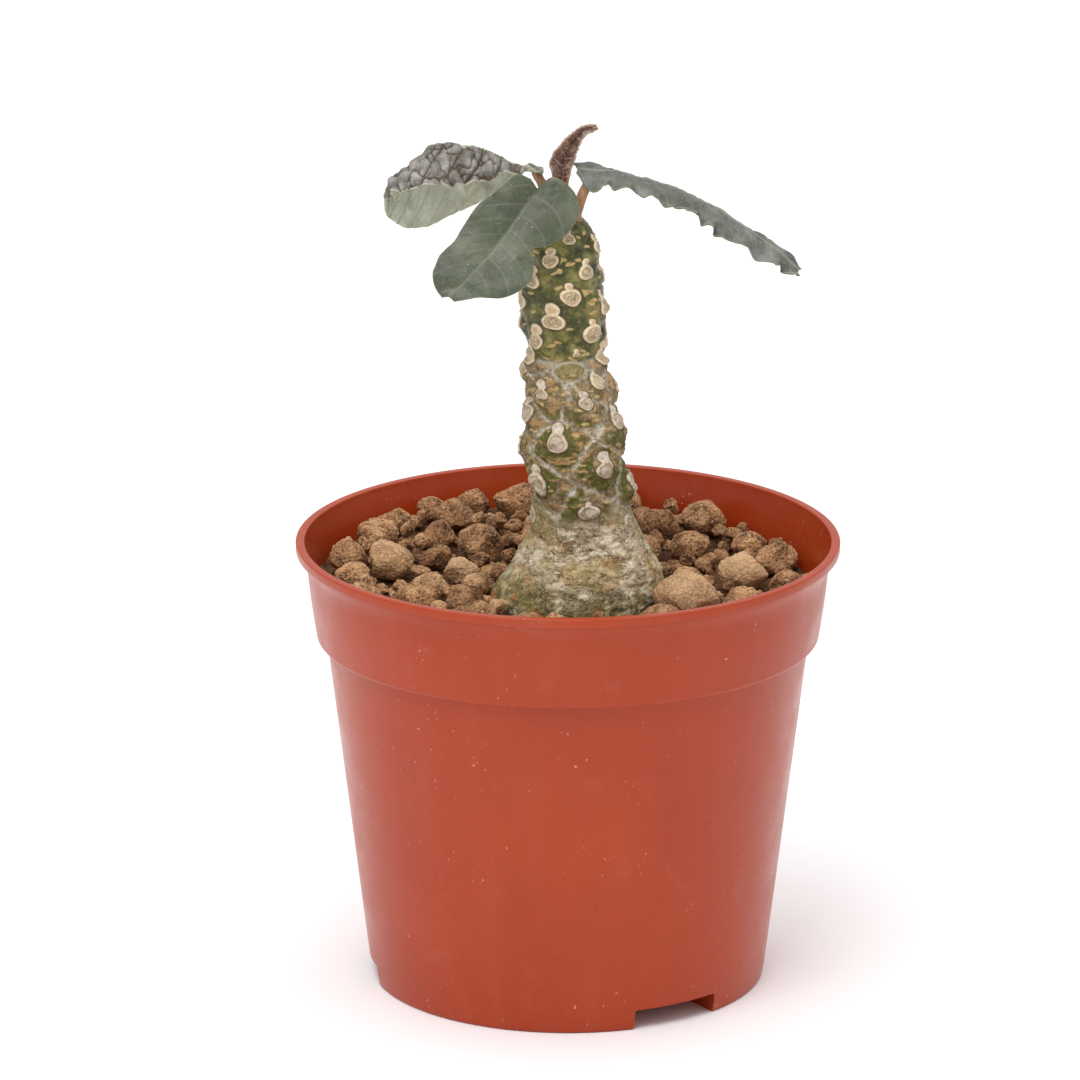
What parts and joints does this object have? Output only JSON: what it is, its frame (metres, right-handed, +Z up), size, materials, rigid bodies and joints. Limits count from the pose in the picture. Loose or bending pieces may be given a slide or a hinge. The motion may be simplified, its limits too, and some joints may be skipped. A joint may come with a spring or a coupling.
{
  "type": "potted succulent",
  "caption": "Caudex succulent with a swollen scarred stem and a few arching leaves, in a round terracotta-coloured plastic nursery pot topped with loose brown stones.",
  "frame": {"origin": "middle of the pot's base, on the surface that it stands on", "axes": "+Z up; -Y towards the front, the side that the front leaf hangs on; +X to the right seen from the front"},
  "size_m": [0.105, 0.105, 0.1718],
  "materials": {
    "pot": "satin moulded plastic, terracotta colour, slightly dusty",
    "substrate": "packed dark gritty potting mix",
    "stem": "living bark, olive green above and cracked grey-beige below, with cream leaf scars",
    "leaf": "matt grey-green leaf with pale veins",
    "young_leaf": "brown-purple crumpled young leaf with pale hairy veins",
    "stone": "rough brown stone coated with sandy grains"
  },
  "bodies": {
    "root": {"pot": "pot", "substrate": "substrate", "stem": "stem", "leaf_front": "leaf", "leaf_left": "leaf", "leaf_right": "leaf", "leaf_young": "young_leaf", "stone_01": "stone", "stone_02": "stone", "stone_03": "stone", "stone_04": "stone", "stone_05": "stone", "stone_06": "stone", "stone_07": "stone", "stone_08": "stone", "stone_09": "stone", "stone_10": "stone", "stone_11": "stone", "stone_12": "stone", "stone_13": "stone", "stone_14": "stone", "stone_15": "stone", "stone_16": "stone", "stone_17": "stone", "stone_18": "stone", "stone_19": "stone", "stone_20": "stone", "stone_21": "stone", "stone_22": "stone", "stone_23": "stone", "stone_24": "stone", "stone_25": "stone", "stone_26": "stone", "stone_27": "stone", "stone_28": "stone", "stone_29": "stone", "stone_30": "stone", "stone_31": "stone", "stone_32": "stone", "stone_33": "stone", "stone_34": "stone", "stone_35": "stone", "stone_36": "stone", "stone_37": "stone", "stone_38": "stone", "stone_39": "stone", "stone_40": "stone", "stone_41": "stone", "stone_42": "stone", "stone_43": "stone", "stone_44": "stone", "stone_45": "stone", "stone_46": "stone"}
  },
  "joints": []
}
